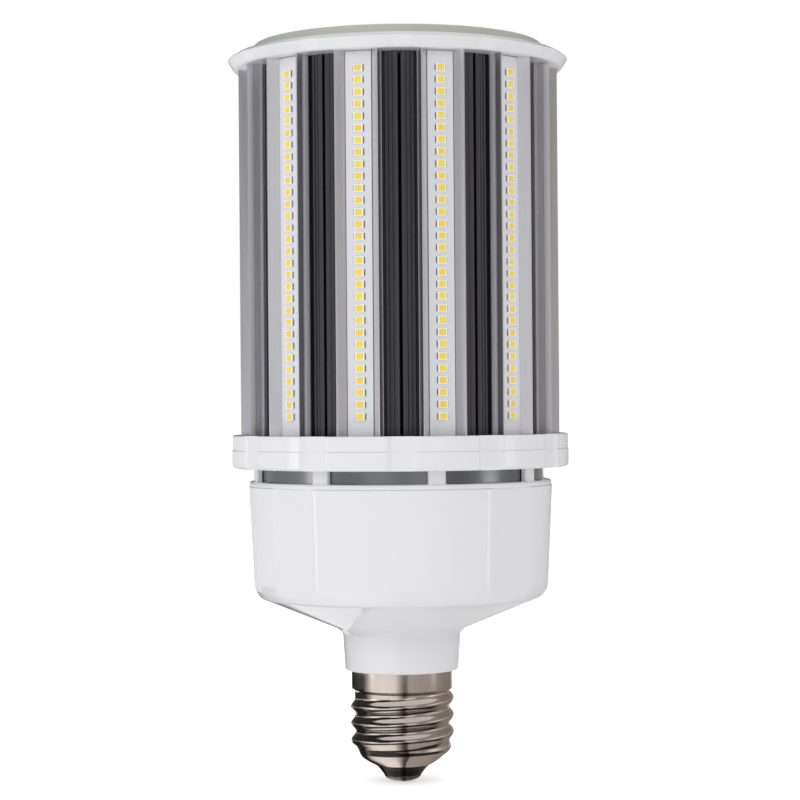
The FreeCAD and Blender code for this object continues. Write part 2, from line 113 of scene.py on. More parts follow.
def new_material(name, base, roughness, metallic=0.0):
    material = bpy.data.materials.new(name)
    material.use_nodes = True
    shader = material.node_tree.nodes["Principled BSDF"]
    shader.inputs["Base Color"].default_value = base
    shader.inputs["Roughness"].default_value = roughness
    shader.inputs["Metallic"].default_value = metallic
    return material, shader


def position(material):
    return add_node(material, "ShaderNodeTexCoord").outputs["Object"]


def stretched(material, x, y, z):
    """Object coordinates scaled apart, in cycles for each metre."""
    mapping = add_node(material, "ShaderNodeMapping", {"Vector": position(material)}, Scale=(x, y, z))
    return mapping.outputs[0]


def noise(material, size_mm, detail=3.0):
    """Even noise with grains of this size."""
    where = {"Vector": position(material)}
    scale = 1 / (size_mm * MM)
    return add_node(material, "ShaderNodeTexNoise", where, Scale=scale, Detail=detail).outputs[0]


def streaks(material, across, along, detail=3.0):
    """Noise drawn out, in cycles for each metre across the bulb's axis and along it."""
    where = {"Vector": stretched(material, across, across, along)}
    return add_node(material, "ShaderNodeTexNoise", where, Scale=1.0, Detail=detail).outputs[0]


def spread(material, source, lowest, highest):
    """Map a nought to one value onto a range."""
    node = add_node(material, "ShaderNodeMapRange", {"Value": source}, To_Min=lowest, To_Max=highest)
    return node.outputs[0]


def ramped(holder, source, start, end, **settings):
    """Rise from nought to one while a value goes from start to end."""
    inputs = {"Value": source, "From Min": start, "From Max": end}
    return add_node(holder, "ShaderNodeMapRange", inputs, **settings).outputs[0]


def maths(holder, operation, *values):
    """Work out a value from others, each a number or another node's output."""
    return add_node(holder, "ShaderNodeMath", dict(enumerate(values)), operation=operation).outputs[0]


def blended(holder, share, first, second):
    """Blend two colours, each fixed or another node's output."""
    return add_node(holder, "ShaderNodeMix", {0: share, 6: first, 7: second}, data_type="RGBA").outputs[2]


def bumped(material, shader, height, distance_mm, strength):
    distance = distance_mm * MM
    bump = add_node(material, "ShaderNodeBump", {"Height": height}, Strength=strength, Distance=distance)
    feed(material, shader, "Normal", bump.outputs[0])


def feed(material, shader, socket, source):
    material.node_tree.links.new(source, shader.inputs[socket])


def moulded_abs(colours):
    """ABS moulded against a polished tool: bright white, even gloss with a faint waviness."""
    material, shader = new_material("moulded_gloss_abs", colours.plastic, 0.1)
    soft = noise(material, 9.0, detail=2.0)
    feed(material, shader, "Roughness", spread(material, soft, 0.07, 0.13))
    bumped(material, shader, noise(material, 12.0, detail=1.0), 0.03, 0.3)
    return material


def extruded_metal(name, light, dark, smoothest, roughest):
    """Aluminium as it leaves the die: fine lines run along the length."""
    material, shader = new_material(name, light, smoothest, metallic=1.0)
    lines = streaks(material, 2200, 12, detail=4.0)
    feed(material, shader, "Roughness", spread(material, lines, smoothest, roughest))
    feed(material, shader, "Base Color", blended(material, lines, dark, light))
    bumped(material, shader, lines, 0.02, 0.5)
    return material


def mill_aluminium(colours):
    """Lips, walls and inner fins of a module."""
    return extruded_metal("extruded_mill_aluminium", colours.aluminium, colours.aluminium_dark, 0.27, 0.42)


def painted_shade_fins(colours):
    """Outermost fins of a module: the same extrusion, duller, and darker as painted shade for their place
    deep in the gaps.
    """
    return extruded_metal("extruded_fins_painted_shade", colours.fin, colours.fin_dark, 0.4, 0.54)


def rolled_aluminium(colours):
    """Rolled aluminium strip: smooth and grey, mirrors the pillars softly."""
    material, shader = new_material("rolled_aluminium_strip", colours.baffle, 0.2, metallic=1.0)
    lines = streaks(material, 40, 1500)
    feed(material, shader, "Roughness", spread(material, lines, 0.15, 0.28))
    bumped(material, shader, lines, 0.01, 0.4)
    return material


def solder_mask(colours):
    """White solder mask over an aluminium board: thin, satin, slightly grained."""
    material, shader = new_material("white_solder_mask", colours.mask, 0.4)
    grain = noise(material, 0.5, detail=2.0)
    feed(material, shader, "Roughness", spread(material, grain, 0.34, 0.48))
    bumped(material, shader, grain, 0.008, 0.5)
    return material


def chip_frame(colours):
    """White moulded nylon frame of a chip."""
    material, shader = new_material("chip_frame_nylon", colours.chip, 0.35)
    bumped(material, shader, noise(material, 0.4), 0.01, 0.4)
    return material


def phosphor(colours):
    """Yellow phosphor in silicone, soft inside, a little different from chip to chip."""
    material, shader = new_material("phosphor_silicone", colours.phosphor, 0.3)
    chips_per_metre = 234.6
    chip_by_chip = stretched(material, 20, 20, chips_per_metre)
    cells = add_node(material, "ShaderNodeTexVoronoi", {"Vector": chip_by_chip}, Scale=1.0)
    shade = spread(material, cells.outputs["Color"], 0.0, 1.0)
    feed(material, shader, "Base Color", blended(material, shade, colours.phosphor, colours.phosphor_warm))
    bumped(material, shader, noise(material, 0.3), 0.01, 0.5)
    shader.inputs["Coat Weight"].default_value = 0.3
    return material


def tinned_solder(colours):
    """Solder fillet, dull silver."""
    material, shader = new_material("tinned_solder", colours.solder, 0.35, metallic=1.0)
    bumped(material, shader, noise(material, 0.3), 0.02, 0.6)
    return material


def nickel_plate(colours):
    """Nickel over rolled brass: mirror-like and a little warm, with faint roller marks round it."""
    material, shader = new_material("nickel_plated_brass", colours.nickel, 0.13, metallic=1.0)
    marks = streaks(material, 60, 2600)
    feed(material, shader, "Roughness", spread(material, marks, 0.08, 0.2))
    bumped(material, shader, marks, 0.01, 0.35)
    return material


def black_glass(colours):
    """Black pressed glass, glossy with soft flow lines."""
    material, shader = new_material("black_pressed_glass", colours.insulator, 0.08)
    shader.inputs["Specular IOR Level"].default_value = 0.15
    bumped(material, shader, noise(material, 3.0), 0.06, 0.4)
    return material


def lead_tin(colours):
    """Soldered contact, dull and slightly pitted."""
    material, shader = new_material("soldered_contact", colours.contact, 0.32, metallic=1.0)
    bumped(material, shader, noise(material, 0.8), 0.05, 0.7)
    return material


def core_nylon_shade(colours):
    """Matt black moulded nylon, its darkness partly painted shade for the deep gaps between the modules."""
    material, shader = new_material("core_nylon_painted_shade", colours.core, 0.55)
    bumped(material, shader, noise(material, 0.8), 0.02, 0.5)
    return material


def frosted_cover(colours):
    """Frosted polycarbonate, milky with a green cast at the edge."""
    material, shader = new_material("frosted_polycarbonate", colours.lens, 0.34)
    shader.inputs["Subsurface Weight"].default_value = 0.25
    shader.inputs["Subsurface Radius"].default_value = (0.004, 0.005, 0.004)
    shader.inputs["Subsurface Scale"].default_value = 1.0
    bumped(material, shader, noise(material, 0.5), 0.01, 0.4)
    return material


def plain(name, base, roughness):
    """A hidden piece's finish: its colour with a light grain."""
    material, shader = new_material(name, base, roughness)
    bumped(material, shader, noise(material, 0.8), 0.02, 0.4)
    return material


SHELF = {}


def finish_of(maker):
    """Make each material once and hand out the same one after that."""
    if maker.__name__ not in SHELF:
        SHELF[maker.__name__] = maker(bpy.context.scene.bulb_colours)
    return SHELF[maker.__name__]


# Mesh tools

def eased(points, closed=True, steps=4):
    """Round each corner (x, y, radius) of an outline with a short curve."""
    result = []
    count = len(points)
    for index, (x, y, radius) in enumerate(points):
        here = Vector((x, y))
        ends = not closed and index in (0, count - 1)
        if radius <= 0 or ends:
            result.append((x, y))
            continue
        before = Vector(points[index - 1][:2]) - here
        after = Vector(points[(index + 1) % count][:2]) - here
        half = before.angle(after) / 2
        cut = min(radius / math.tan(half), before.length * 0.49, after.length * 0.49)
        start = here + before.normalized() * cut
        end = here + after.normalized() * cut
        for step in range(steps + 1):
            t = step / steps
            a = start.lerp(here, t)
            b = here.lerp(end, t)
            result.append(tuple(a.lerp(b, t)))
    return result


def new_object(name, vertices, faces, materials, smooth=True):
    mesh = bpy.data.meshes.new(name)
    mesh.from_pydata([tuple(c * MM for c in v) for v in vertices], [], faces)
    mesh.validate()
    mesh.update()
    for material in materials:
        mesh.materials.append(material)
    mesh.polygons.foreach_set("use_smooth", [smooth] * len(mesh.polygons))
    obj = bpy.data.objects.new(name, mesh)
    bpy.context.scene.collection.objects.link(obj)
    return obj


def weight_normals(obj, angle=30):
    """Smooth the shading between faces, but keep edges sharp that turn by more than an angle."""
    obj.data.set_sharp_from_angle(angle=math.radians(angle))
    modifier = obj.modifiers.new("weighted_normals", "WEIGHTED_NORMAL")
    modifier.mode = "FACE_AREA"
    modifier.weight = 80
    modifier.keep_sharp = True
    return obj


def turned(name, loop, angles, materials, shape=None):
    """Turn an outline of (radius, height) points about the axis; shape may change a radius by angle."""
    vertices, rows = [], []
    for x, z in loop:
        on_axis = x < 1e-6
        if on_axis:
            rows.append([len(vertices)])
            vertices.append((0, 0, z))
            continue
        row = []
        for angle in angles:
            radius = shape(angle, x, z) if shape else x
            row.append(len(vertices))
            a = math.radians(angle)
            vertices.append((radius * math.cos(a), radius * math.sin(a), z))
        rows.append(row)
    count = len(angles)
    faces = []
    for index, row in enumerate(rows):
        following = rows[(index + 1) % len(rows)]
        if len(row) == 1 and len(following) == 1:
            continue
        for i in range(count):
            j = (i + 1) % count
            if len(row) == 1:
                faces.append((row[0], following[j], following[i]))
            elif len(following) == 1:
                faces.append((row[i], row[j], following[0]))
            else:
                faces.append((row[i], row[j], following[j], following[i]))
    return new_object(name, vertices, faces, materials)


def even_angles(count):
    return [360 * i / count for i in range(count)]


def smooth_min(a, b, softness):
    """The lower of two values, blended where they are close."""
    h = max(0.0, softness - abs(a - b)) / softness
    return min(a, b) - h * h * softness / 4


def extruded(name, outline, bottom, top, materials, material_of=None):
    """Stretch a flat outline along Z; material_of picks a side face's material by its middle's Y."""
    count = len(outline)
    vertices = [(x, y, bottom) for x, y in outline] + [(x, y, top) for x, y in outline]
    faces = [(i, (i + 1) % count, count + (i + 1) % count, count + i) for i in range(count)]
    faces.append(tuple(reversed(range(count))))
    faces.append(tuple(range(count, 2 * count)))
    obj = new_object(name, vertices, faces, materials)
    if material_of:
        for face, polygon in zip(faces, obj.data.polygons):
            if len(face) == 4:
                a, b = vertices[face[0]], vertices[face[1]]
                polygon.material_index = material_of((a[1] + b[1]) / 2)
    return obj


def settle(obj, slot, *nodes):
    """Let a piece stand for its CAD nodes and ride on the bulb; slot, the name of their finish, is not used.
    """
    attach(obj, "root")
    if nodes:
        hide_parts(*nodes)
    return obj


def cover(node, material):
    """Give a CAD node that keeps its own mesh a better finish."""
    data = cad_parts[node].data
    data.materials.clear()
    data.materials.append(material)


# Moulded rings with twelve shallow bands in their rims: half widths of a band's floor and of its opening

BAND_DEPTH = 1.0
COLLAR_BANDS = (3.9, 5.77)
TOP_BANDS = (2.8, 4.67)


def band_angles(radius, half_floor, half_edge):
    """Angles that fall on the edges of the twelve bands and evenly between them."""
    marks = [0.0, half_floor * 0.55]
    span = half_edge - half_floor
    marks += [half_floor + share * span for share in (-0.25, 0.1, 0.5, 0.9, 1.25)]
    rest = math.radians(SECTOR / 2) * radius - marks[-1]
    marks += [marks[-1] + rest * step / 4 for step in range(1, 4)]
    degrees = [math.degrees(mark / radius) for mark in marks]
    offsets = sorted([-d for d in degrees[1:]] + degrees) + [SECTOR / 2]
    return [SECTOR * k + offset for k in range(MODULES) for offset in offsets]


def band_shape(radius, half_floor, half_edge):
    """Radius limit of a ring whose bands are flat floors between slanted sides."""
    past_edge, past_floor, steeper, softness = 0.5, 0.3, 1.02, 0.12

    def shape(angle, x, z):
        away = abs((angle + SECTOR / 2) % SECTOR - SECTOR / 2)
        across = math.radians(away) * radius
        if across >= half_edge + past_edge or x <= radius - BAND_DEPTH - past_floor:
            return x
        floor = (radius - BAND_DEPTH) / math.cos(math.radians(away))
        rise = max(0.0, across - half_floor) / (half_edge - half_floor) * BAND_DEPTH
        return smooth_min(x, floor + rise * steeper, softness)
    return shape


def banded_ring(name, outline, radius, bands):
    angles = band_angles(radius, *bands)
    obj = turned(name, outline, angles, [finish_of(moulded_abs)], band_shape(radius, *bands))
    return weight_normals(obj)


# Sizes and colours in the panel

class BulbSizes(bpy.types.PropertyGroup):
    """Sizes of the visible pieces, in millimetres, and counts."""
    thread_major: FloatProperty(
        name="Thread radius", description="Radius over the crests of the screw thread, mm", default=19.45)
    thread_root: FloatProperty(
        name="Thread root", description="Radius in the roots of the screw thread, mm", default=17.85)
    thread_pitch: FloatProperty(
        name="Thread pitch", description="Rise of the thread in one turn, mm", default=6.35)
    collar_radius: FloatProperty(
        name="Collar radius", description="Radius of the collar under the modules, mm", default=63.4)
    chips: IntProperty(
        name="Chips", description="Chips on each board", default=30)
    chip_pitch: FloatProperty(
        name="Chip pitch", description="Distance between two chips, mm", default=4.262)
    round_steps: IntProperty(
        name="Round steps", description="Steps round the turned pieces", default=192)


def hue(name, text, description):
    return FloatVectorProperty(
        name=name, description=description, subtype="COLOR", size=4, min=0, max=1, default=colour(text))


class BulbColours(bpy.types.PropertyGroup):
    """Colours of the finishes."""
    plastic: hue("Plastic", "#E5E5E8", "White moulded plastic")
    aluminium: hue("Aluminium", "#EAEAEE", "Bare extruded aluminium")
    aluminium_dark: hue("Aluminium lines", "#D4D4D9", "Darker die lines of the aluminium")
    # The two fin colours are painted shade: darker than the aluminium because these fins lie deep in the
    # gaps.
    fin: hue("Fins", "#6E6E74", "Aluminium of the outermost fins")
    fin_dark: hue("Fin lines", "#5C5C62", "Darker die lines of the outermost fins")
    baffle: hue("Baffle", "#7E8286", "Rolled aluminium behind the vent gap")
    mask: hue("Board", "#E2E2E6", "Solder mask of the boards")
    chip: hue("Chip", "#F8F8F4", "Frame of a chip")
    phosphor: hue("Phosphor", "#F6E74A", "Phosphor of the chips")
    phosphor_warm: hue("Warm phosphor", "#FACD58", "Warmer phosphor of some chips")
    solder: hue("Solder", "#808088", "Solder beside the chips")
    nickel: hue("Nickel", "#DED4CC", "Nickel plate of the screw shell")
    insulator: hue("Insulator", "#0A0A0A", "Black insulator")
    contact: hue("Contact", "#6E6A66", "Centre contact")
    # The core's dark colour is partly painted shade for the deep gaps between the modules.
    core: hue("Core", "#3A3A3E", "Core tube behind the modules")
    lens: hue("Cover", "#B3B7AB", "Frosted top cover")


# Operators, one for each piece or group

class BulbScrewBase(bpy.types.Operator):
    """Make the threaded shell, the insulator and the centre contact"""
    bl_idname = "bulb.screw_base"
    bl_label = "Screw Base"

    def execute(self, context):
        sizes = context.scene.bulb_sizes
        steps = sizes.round_steps
        settle(self.shell(sizes), "nickel_plate", "screw_shell")
        hole, bead_top = 2.1, high("base_insulator")
        bead = eased([
            (hole, CONTACT_TOP, 0), (7.0, CONTACT_TOP, 0.3), (8.8, 4.6, 0.8), (10.3, 6.0, 0.4),
            (10.3, bead_top, 0), (hole, bead_top, 0),
        ])
        obj = turned("glass_insulator", bead, even_angles(steps), [finish_of(black_glass)])
        settle(weight_normals(obj), "black_insulator", "base_insulator")
        top = high("centre_contact")
        button = eased([
            (0, 0, 0), (3.5, 0, 1.5), (6.1, 0.95, 1.2), (7.0, 2.0, 0.3), (6.9, CONTACT_TOP, 0),
            (2.0, CONTACT_TOP, 0), (2.0, top, 0), (0, top, 0),
        ], closed=False)
        obj = turned("contact_button", button, even_angles(96), [finish_of(lead_tin)])
        settle(weight_normals(obj), "contact_metal", "centre_contact")
        return {"FINISHED"}

    def shell(self, sizes):
        """One skin whose radius follows a rolled thread that rises to the right."""
        major, root, pitch = sizes.thread_major, sizes.thread_root, sizes.thread_pitch
        foot_radius, skirt_radius = 10.4, 18.98
        skirt_low, skirt_rise = 33.9, 1.1
        # Height of the first crest at angle nought, then turns of thread, run-in and run-out
        first, turns = 12.1, 3.42
        run_in, run_out = 0.75, 0.3
        nose = [
            (6.1, 10.6), (6.5, 11.4), (7.6, 13.2), (9.0, 14.9), (10.6, 16.2), (12.6, 17.3), (14.4, root),
        ]

        def body_radius(z):
            """Radius of the outside without its thread."""
            for (z0, r0), (z1, r1) in zip(nose, nose[1:]):
                if z <= z1:
                    return r0 + (r1 - r0) * (z - z0) / (z1 - z0)
            t = min(1.0, max(0.0, (z - skirt_low) / skirt_rise))
            return root + (skirt_radius - root) * t * t * (3 - 2 * t)

        def threaded(angle, x, z):
            """Raise the thread on the outside; the bore's points lie within and stay."""
            if x < body_radius(z):
                return x
            turn = (angle % 360) / 360
            centre = first + pitch * turn
            nearest = centre + pitch * round((z - centre) / pitch)
            along = (nearest - first) / pitch
            fade = min(1.0, max(0.0, along + run_in)) * min(1.0, max(0.0, (turns - along) / run_out))
            wave = 0.5 + 0.5 * math.cos(2 * math.pi * (z - nearest) / pitch)
            return x + (major - root) * wave * fade

        fine_low, rows = 9.0, 118
        span = NECK_BOTTOM - fine_low - 0.25
        heights = [6.22, 6.5, 7.0, 7.6, 8.3, fine_low]
        heights += [fine_low + span * row / rows for row in range(1, rows + 1)] + [NECK_BOTTOM]
        bore = root - 0.8
        loop = [(foot_radius, nose[0][0])] + [(body_radius(z), z) for z in heights]
        loop += [
            (bore, NECK_BOTTOM), (bore, 14.6), (bore - 0.8, 12.6), (bore - 2.6, 9.6), (bore - 4.2, 8.2),
            (foot_radius, 6.9),
        ]
        obj = turned("screw_thread_shell", loop, even_angles(160), [finish_of(nickel_plate)], threaded)
        obj.data.set_sharp_from_angle(angle=math.radians(50))
        return obj


class BulbHousing(bpy.types.Operator):
    """Make the white lower housing with its neck, cone and four corner facets"""
    bl_idname = "bulb.housing"
    bl_label = "Lower Housing"

    def execute(self, context):
        rim_radius, facet_depth, facet_reach, softness = 57.1, 1.1, 16, 0.16
        wall_low, wall_low_radius, wall_least = 75.4, 55.4, 53
        draft = (rim_radius - wall_low_radius) / (CUP_RIM - wall_low)
        neck_low, bore, inside, floor = 14.0, 14.45, 52.2, 72.5
        outline = eased([
            (bore, neck_low, 0.3), (16.85, neck_low, 0.3), (16.85, NECK_BOTTOM, 0), (21.3, NECK_BOTTOM, 0.8),
            (22.2, 55.8, 1.2), (24.3, 57.8, 1.2), (48.0, 67.6, 2.0), (53.3, 69.75, 2.6), (54.95, 72.2, 2.6),
            (wall_low_radius, wall_low, 2.5), (rim_radius, CUP_RIM, 0.35), (inside, CUP_RIM, 0.3),
            (inside, floor, 1.0), (bore, floor, 1.0),
        ], steps=6)

        def shape(angle, x, z):
            """Cut the four facets into the outer wall."""
            away = abs(angle % 90 - 45)
            if x < wall_least or away > facet_reach:
                return x
            flat = (rim_radius - facet_depth - (CUP_RIM - z) * draft) / math.cos(math.radians(away))
            return smooth_min(x, flat, softness)

        # Angles from a facet's middle, closest where the facet meets the round wall
        offsets = [-45 + 3.25 * i for i in range(10)]
        offsets += [-14.6, -13.4, -12.4, -11.8, -11.3, -10.8, -10.2, -9, -6, -3, 0]
        half = sorted(set(offsets) | {-o for o in offsets})
        angles = [45 + 90 * k + o for k in range(4) for o in half if o > -45]
        obj = turned("white_housing", outline, angles, [finish_of(moulded_abs)], shape)
        settle(weight_normals(obj, 40), "white_plastic", "driver_cup")
        return {"FINISHED"}


# Radius of the step that seats the collar's upper half, and the pillars of the vent gap

COLLAR_STEP = 60.5
PILLARS = 8


class BulbVentRing(bpy.types.Operator):
    """Make the housing cover, its pillars and the lower half of the collar"""
    bl_idname = "bulb.vent_ring"
    bl_label = "Vent Ring"

    def execute(self, context):
        sizes = context.scene.bulb_sizes
        plastic = [finish_of(moulded_abs)]
        wire_hole, plug_radius, plug_low = 4, 51.9, CUP_RIM - 2.4
        flange_top = CUP_RIM + 1.9
        flange = eased([
            (wire_hole, plug_low, 0), (plug_radius, plug_low, 0.3), (plug_radius, CUP_RIM, 0),
            (56.9, CUP_RIM, 0.3), (56.8, flange_top, 1.1), (wire_hole, flange_top, 0),
        ], steps=5)
        cap = turned("housing_cover", flange, even_angles(sizes.round_steps), plastic)
        settle(weight_normals(cap), "white_plastic", "vent_ring")
        radius, inside, collar_low = sizes.collar_radius, 43, MODULE_LOW - 2.5
        collar = eased([
            (inside, collar_low, 0.3), (radius, collar_low, 1.5), (radius, COLLAR_SEAM, 0.18),
            (COLLAR_STEP, COLLAR_SEAM, 0), (COLLAR_STEP, MODULE_LOW, 0), (inside, MODULE_LOW, 0.3),
        ], steps=5)
        settle(banded_ring("lower_collar", collar, radius, COLLAR_BANDS), "white_plastic")
        for index in range(PILLARS):
            self.pillar(index, flange_top, collar_low, plastic)
        return {"FINISHED"}

    def pillar(self, index, bottom, top, plastic):
        """A half-round rib before the baffle that flares a little where it meets both rings."""
        levels = [
            (bottom - 0.5, 0.6), (bottom, 0.6), (bottom + 0.15, 0.25), (bottom + 0.6, 0.0),
            (top - 0.6, 0.0), (top - 0.15, 0.25), (top, 0.6), (top + 0.5, 0.6),
        ]
        root, crest, half_width = 53.6, 55.7, 3.25
        flare_out, flare_across = 0.3, 0.15
        section = eased([
            (root, -half_width, 0), (crest, -half_width, 1.4), (crest, half_width, 1.4),
            (root, half_width, 0),
        ], steps=6)
        count = len(section)
        first_angle = 13
        turn = math.radians(first_angle + 360 / PILLARS * index)
        vertices, faces = [], []
        for height, flare in levels:
            for out, across in section:
                out = root + (out - root) * (1 + flare * flare_out)
                across *= 1 + flare * flare_across
                vertices.append((
                    out * math.cos(turn) - across * math.sin(turn),
                    out * math.sin(turn) + across * math.cos(turn),
                    height,
                ))
        for level in range(len(levels) - 1):
            for i in range(count):
                j = (i + 1) % count
                first, second = level * count, (level + 1) * count
                faces.append((first + i, first + j, second + j, second + i))
        faces.append(tuple(reversed(range(count))))
        faces.append(tuple(range(len(vertices) - count, len(vertices))))
        obj = new_object(f"vent_pillar_{index + 1}", vertices, faces, plastic)
        settle(weight_normals(obj, 60), "white_plastic")


class BulbVentBaffle(bpy.types.Operator):
    """Make the grey metal band behind the pillars"""
    bl_idname = "bulb.vent_baffle"
    bl_label = "Vent Baffle"

    def execute(self, context):
        bottom, top = low("vent_baffle"), high("vent_baffle")
        back, face = 51.9, 53.4
        band = [(back, bottom), (face, bottom), (face, top), (back, top)]
        steps = even_angles(context.scene.bulb_sizes.round_steps)
        obj = turned("baffle_band", band, steps, [finish_of(rolled_aluminium)])
        settle(weight_normals(obj), "bare_aluminium", "vent_baffle")
        return {"FINISHED"}


class BulbCollarRing(bpy.types.Operator):
    """Make the upper half of the collar"""
    bl_idname = "bulb.collar_ring"
    bl_label = "Collar Ring"

    def execute(self, context):
        radius = 63.2
        ring = eased([
            (COLLAR_STEP, COLLAR_SEAM, 0), (radius, COLLAR_SEAM, 0.18), (radius, COLLAR_TOP, 0.6),
            (COLLAR_STEP, COLLAR_TOP, 0.3),
        ], steps=4)
        settle(banded_ring("upper_collar", ring, radius, COLLAR_BANDS), "white_plastic", "collar_ring")
        return {"FINISHED"}


# Distances from the axis: top of a module's outermost fins, and floor of its board channel

FIN_TOP = 52.5
BOARD_SEAT = 55.2


def fin_reach(distance):
    """How far a fin goes sideways and still clears the next module's."""
    clearance = 1.0
    return distance * math.tan(math.radians(180 / MODULES)) - clearance


def module_section():
    """Half of the extrusion's section: across, out from the axis, corner rounding."""
    stem, channel_side, rib_height, outer_extra = 1.5, 6.6, 0.3, 0.7
    fin_pitch, fin_thickness = 5.1, 1.2
    points = [
        (4.9, BOARD_SEAT, 0), (4.9, 56.0, 0.15), (7.5, 59.6, 0.15), (8.0, 59.6, 0.15), (8.0, 57.1, 0.2),
        (channel_side, 57.1, 0.15), (channel_side, 54.4, 0.15), (8.0, 54.4, 0.2), (8.0, 53.5, 0.2),
        (channel_side, 53.5, 0.15),
    ]
    for level in range(3):
        outermost = level == 0
        top = FIN_TOP - fin_pitch * level
        bottom = top - fin_thickness
        reach = fin_reach(bottom) + (outer_extra if outermost else 0)
        points.append((channel_side if outermost else stem, top, 0.2))
        for rib in (8.9, 10.4, 11.9) if outermost else ():
            points += [
                (rib - 0.5, top, 0.2), (rib - 0.2, top + rib_height, 0.2), (rib + 0.2, top + rib_height, 0.2),
                (rib + 0.5, top, 0.2),
            ]
        points += [(reach, top, 0.3), (reach, bottom, 0.3), (stem, bottom, 0.3)]
    points.append((stem, 38.0, 0.2))
    return points


def on_shaded_outer_fin(out):
    """One for a face on the outermost fins, which take the painted shade, by how far out it lies, else
    nought.
    """
    return int(FIN_TOP - 1.5 < out < FIN_TOP + 0.4)


def turn_module(obj, number):
    obj.rotation_euler.z = math.radians(SECTOR / 2 * (2 * number - 1))


class BulbHeatSinks(bpy.types.Operator):
    """Make the twelve finned extrusions"""
    bl_idname = "bulb.heat_sinks"
    bl_label = "Heat Sinks"

    def execute(self, context):
        half = module_section()
        outline = eased(half + [(-x, y, r) for x, y, r in reversed(half)], steps=3)
        # The second finish darkens the outermost fins as painted shade.
        finishes = [finish_of(mill_aluminium), finish_of(painted_shade_fins)]
        for number in range(1, MODULES + 1):
            name = f"finned_extrusion_{number:02d}"
            obj = extruded(name, outline, MODULE_LOW, MODULE_TOP, finishes, on_shaded_outer_fin)
            turn_module(obj, number)
            settle(weight_normals(obj, 45), "bare_aluminium", f"heat_sink_{number:02d}")
        return {"FINISHED"}


class BulbBoards(bpy.types.Operator):
    """Make the twelve boards"""
    bl_idname = "bulb.boards"
    bl_label = "LED Boards"

    def execute(self, context):
        side, inset = 4.75, 0.3
        outline = eased([
            (-side, BOARD_SEAT, 0), (side, BOARD_SEAT, 0), (side, BOARD_FACE, 0.12),
            (-side, BOARD_FACE, 0.12),
        ], steps=2)
        mask = [finish_of(solder_mask)]
        for number in range(1, MODULES + 1):
            name = f"strip_board_{number:02d}"
            obj = extruded(name, outline, MODULE_LOW + inset, MODULE_TOP - inset, mask)
            turn_module(obj, number)
            settle(weight_normals(obj, 45), "board_white", f"led_board_{number:02d}")
        return {"FINISHED"}


# A chip row's material slots, and half the length of a chip

FRAME, WINDOW, SOLDER = 0, 1, 2
CHIP_END = 1.75


class BulbChips(bpy.types.Operator):
    """Make the rows of chips with their phosphor windows and solder"""
    bl_idname = "bulb.chips"
    bl_label = "LED Chips"

    def execute(self, context):
        sizes = context.scene.bulb_sizes
        vertices, faces, slots = self.row(sizes)
        finishes = [finish_of(chip_frame), finish_of(phosphor), finish_of(tinned_solder)]
        for number in range(1, MODULES + 1):
            obj = new_object(f"chip_row_{number:02d}", vertices, faces, finishes, smooth=False)
            obj.data.polygons.foreach_set("material_index", slots)
            turn_module(obj, number)
            settle(obj, "led_package", f"led_row_{number:02d}")
        return {"FINISHED"}

    def row(self, sizes):
        first_chip = 137.6
        vertices, faces, slots = [], [], []
        for chip in range(sizes.chips):
            self.chip(vertices, faces, slots, first_chip + sizes.chip_pitch * chip)
        return vertices, faces, slots

    def chip(self, vertices, faces, slots, z):
        """Frame with chamfered edges, a sunken rounded window and two solder pads."""
        top, window = 57.0, 56.87
        rings = [
            (CHIP_END, 1.4, BOARD_FACE, 0.1), (CHIP_END, 1.4, top - 0.15, 0.1), (1.68, 1.33, top, 0.12),
            (1.27, 1.1, top, 0.3), (1.2, 1.03, window, 0.3),
        ]
        loops = []
        for half_x, half_z, out, corner in rings:
            start = len(vertices)
            loop = rounded_box(half_x, half_z, corner, 3)
            vertices.extend((x, out, z + dz) for x, dz in loop)
            loops.append(list(range(start, start + len(loop))))
        count = len(loops[0])
        window_wall = len(loops) - 2
        for index, (first, second) in enumerate(zip(loops, loops[1:])):
            for i in range(count):
                j = (i + 1) % count
                faces.append((first[j], first[i], second[i], second[j]))
                slots.append(WINDOW if index == window_wall else FRAME)
        faces.append(tuple(reversed(loops[-1])))
        slots.append(WINDOW)
        faces.append(tuple(loops[0]))
        slots.append(FRAME)
        for side in (-1, 1):
            self.solder(vertices, faces, slots, side, z)

    def solder(self, vertices, faces, slots, side, z):
        """A wedge of solder that climbs the end of a chip."""
        start = len(vertices)
        near, far, half_width = CHIP_END * side, 2.05 * side, 1.1
        section = [
            (near, BOARD_FACE), (far, BOARD_FACE), (far - 0.1 * side, BOARD_FACE + 0.08),
            (near, BOARD_FACE + 0.25),
        ]
        for dz in (-half_width, half_width):
            vertices.extend((x, out, z + dz) for x, out in section)
        order = [(0, 1, 5, 4), (1, 2, 6, 5), (2, 3, 7, 6), (3, 0, 4, 7), (3, 2, 1, 0), (4, 5, 6, 7)]
        for face in order:
            face = tuple(start + i for i in face)
            faces.append(face if side > 0 else tuple(reversed(face)))
            slots.append(SOLDER)


def rounded_box(half_x, half_y, corner, steps):
    """Corner points of a rounded rectangle, in order round it."""
    points = []
    for sx, sy, first in ((1, 1, 0), (-1, 1, 90), (-1, -1, 180), (1, -1, 270)):
        for step in range(steps + 1):
            a = math.radians(first + 90 * step / steps)
            points.append((
                sx * (half_x - corner) + corner * math.cos(a),
                sy * (half_y - corner) + corner * math.sin(a),
            ))
    return points


